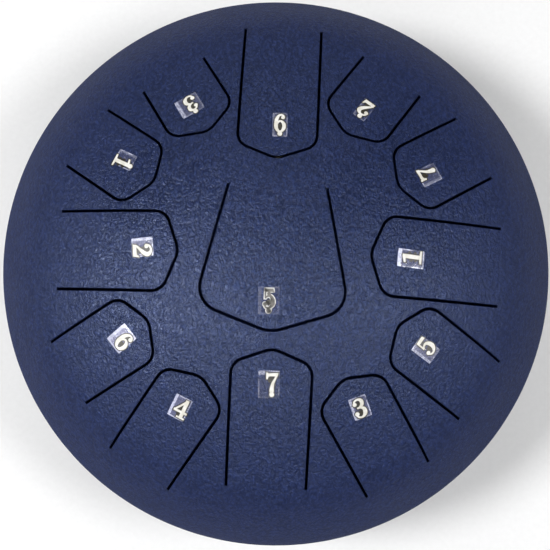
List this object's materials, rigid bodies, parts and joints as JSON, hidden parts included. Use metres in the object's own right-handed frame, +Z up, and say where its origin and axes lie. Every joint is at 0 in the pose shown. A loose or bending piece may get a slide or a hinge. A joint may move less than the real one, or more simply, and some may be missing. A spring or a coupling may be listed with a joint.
{
  "type": "steel tongue drum",
  "caption": "Round two-shell steel drum with numbered tongues cut into its domed top, a sound port underneath and screwed rubber feet.",
  "frame": {"origin": "centre of the plane that the four feet stand on", "axes": "+Z up along the drum's axis, +Y from the player's side to the far side, where the low 6 tongue is, +X to the player's right"},
  "size_m": [0.3055, 0.3054, 0.1589],
  "materials": {
    "upper_steel": "fine-textured satin powder coat, navy blue",
    "tongue_steel": "fine-textured satin powder coat, navy blue",
    "lower_steel": "fine-textured satin powder coat, navy blue",
    "weld_steel": "powder coat over a ground weld, navy blue",
    "clear_film": "thin clear printed film, glossy",
    "foot_rubber": "matte moulded rubber, black",
    "screw_steel": "bright zinc plate",
    "washer_steel": "bright zinc plate",
    "insert_steel": "yellow zinc plate"
  },
  "bodies": {
    "drum": {"upper_shell": "upper_steel", "lower_shell": "lower_steel", "seam_weld": "weld_steel", "foot_right": "foot_rubber", "foot_back": "foot_rubber", "foot_left": "foot_rubber", "foot_front": "foot_rubber", "foot_screws": "screw_steel", "foot_washers": "washer_steel", "rivet_nuts": "insert_steel"},
    "note_low_5": {"tongue_low_5": "tongue_steel", "sticker_low_5": "clear_film"},
    "note_low_6": {"tongue_low_6": "tongue_steel", "sticker_low_6": "clear_film"},
    "note_low_7": {"tongue_low_7": "tongue_steel", "sticker_low_7": "clear_film"},
    "note_mid_1": {"tongue_mid_1": "tongue_steel", "sticker_mid_1": "clear_film"},
    "note_mid_2": {"tongue_mid_2": "tongue_steel", "sticker_mid_2": "clear_film"},
    "note_mid_3": {"tongue_mid_3": "tongue_steel", "sticker_mid_3": "clear_film"},
    "note_mid_4": {"tongue_mid_4": "tongue_steel", "sticker_mid_4": "clear_film"},
    "note_mid_5": {"tongue_mid_5": "tongue_steel", "sticker_mid_5": "clear_film"},
    "note_mid_6": {"tongue_mid_6": "tongue_steel", "sticker_mid_6": "clear_film"},
    "note_mid_7": {"tongue_mid_7": "tongue_steel", "sticker_mid_7": "clear_film"},
    "note_high_1": {"tongue_high_1": "tongue_steel", "sticker_high_1": "clear_film"},
    "note_high_2": {"tongue_high_2": "tongue_steel", "sticker_high_2": "clear_film"},
    "note_high_3": {"tongue_high_3": "tongue_steel", "sticker_high_3": "clear_film"}
  },
  "joints": [
    {"name": "root_low_5", "type": "hinge", "parent": "drum", "child": "note_low_5", "pos_m": [0.00117, 0.03338, 0.15616], "axis": [0.9994, -0.0349, 0], "range_deg": [-0.5, 0.5], "stiffness_Nm_per_rad": 36.4},
    {"name": "root_low_6", "type": "hinge", "parent": "drum", "child": "note_low_6", "pos_m": [0.00258, 0.12126, 0.13337], "axis": [0.9994, -0.0349, 0], "range_deg": [-0.5, 0.5], "stiffness_Nm_per_rad": 19.9},
    {"name": "root_low_7", "type": "hinge", "parent": "drum", "child": "note_low_7", "pos_m": [-0.00241, -0.11626, 0.1358], "axis": [-0.9994, 0.0349, 0], "range_deg": [-0.5, 0.5], "stiffness_Nm_per_rad": 16},
    {"name": "root_mid_1", "type": "hinge", "parent": "drum", "child": "note_mid_1", "pos_m": [0.11471, -0.00353, 0.13642], "axis": [-0.0523, -0.9986, 0], "range_deg": [-0.5, 0.5], "stiffness_Nm_per_rad": 14.9},
    {"name": "root_mid_2", "type": "hinge", "parent": "drum", "child": "note_mid_2", "pos_m": [-0.11028, 0.00165, 0.13812], "axis": [0.0262, 0.9997, 0], "range_deg": [-0.5, 0.5], "stiffness_Nm_per_rad": 12},
    {"name": "root_mid_3", "type": "hinge", "parent": "drum", "child": "note_mid_3", "pos_m": [0.06441, -0.11177, 0.12833], "axis": [-0.8616, -0.5075, 0], "range_deg": [-0.5, 0.5], "stiffness_Nm_per_rad": 8.9},
    {"name": "root_mid_4", "type": "hinge", "parent": "drum", "child": "note_mid_4", "pos_m": [-0.06728, -0.10875, 0.12917], "axis": [-0.8241, 0.5664, 0], "range_deg": [-0.5, 0.5], "stiffness_Nm_per_rad": 8.3},
    {"name": "root_mid_5", "type": "hinge", "parent": "drum", "child": "note_mid_5", "pos_m": [0.10532, -0.06607, 0.13159], "axis": [-0.5807, -0.8141, 0], "range_deg": [-0.5, 0.5], "stiffness_Nm_per_rad": 6.9},
    {"name": "root_mid_6", "type": "hinge", "parent": "drum", "child": "note_mid_6", "pos_m": [-0.10406, -0.06067, 0.13381], "axis": [-0.5299, 0.848, 0], "range_deg": [-0.5, 0.5], "stiffness_Nm_per_rad": 5.4},
    {"name": "root_mid_7", "type": "hinge", "parent": "drum", "child": "note_mid_7", "pos_m": [0.10229, 0.05882, 0.13503], "axis": [0.5075, -0.8616, 0], "range_deg": [-0.5, 0.5], "stiffness_Nm_per_rad": 4.6},
    {"name": "root_high_1", "type": "hinge", "parent": "drum", "child": "note_high_1", "pos_m": [-0.09855, 0.06102, 0.13595], "axis": [0.5664, 0.8241, 0], "range_deg": [-0.5, 0.5], "stiffness_Nm_per_rad": 4},
    {"name": "root_high_2", "type": "hinge", "parent": "drum", "child": "note_high_2", "pos_m": [0.0594, 0.09596, 0.13716], "axis": [0.8141, -0.5807, 0], "range_deg": [-0.5, 0.5], "stiffness_Nm_per_rad": 3.2},
    {"name": "root_high_3", "type": "hinge", "parent": "drum", "child": "note_high_3", "pos_m": [-0.0543, 0.09449, 0.13861], "axis": [0.8526, 0.5225, 0], "range_deg": [-0.5, 0.5], "stiffness_Nm_per_rad": 2.3}
  ]
}
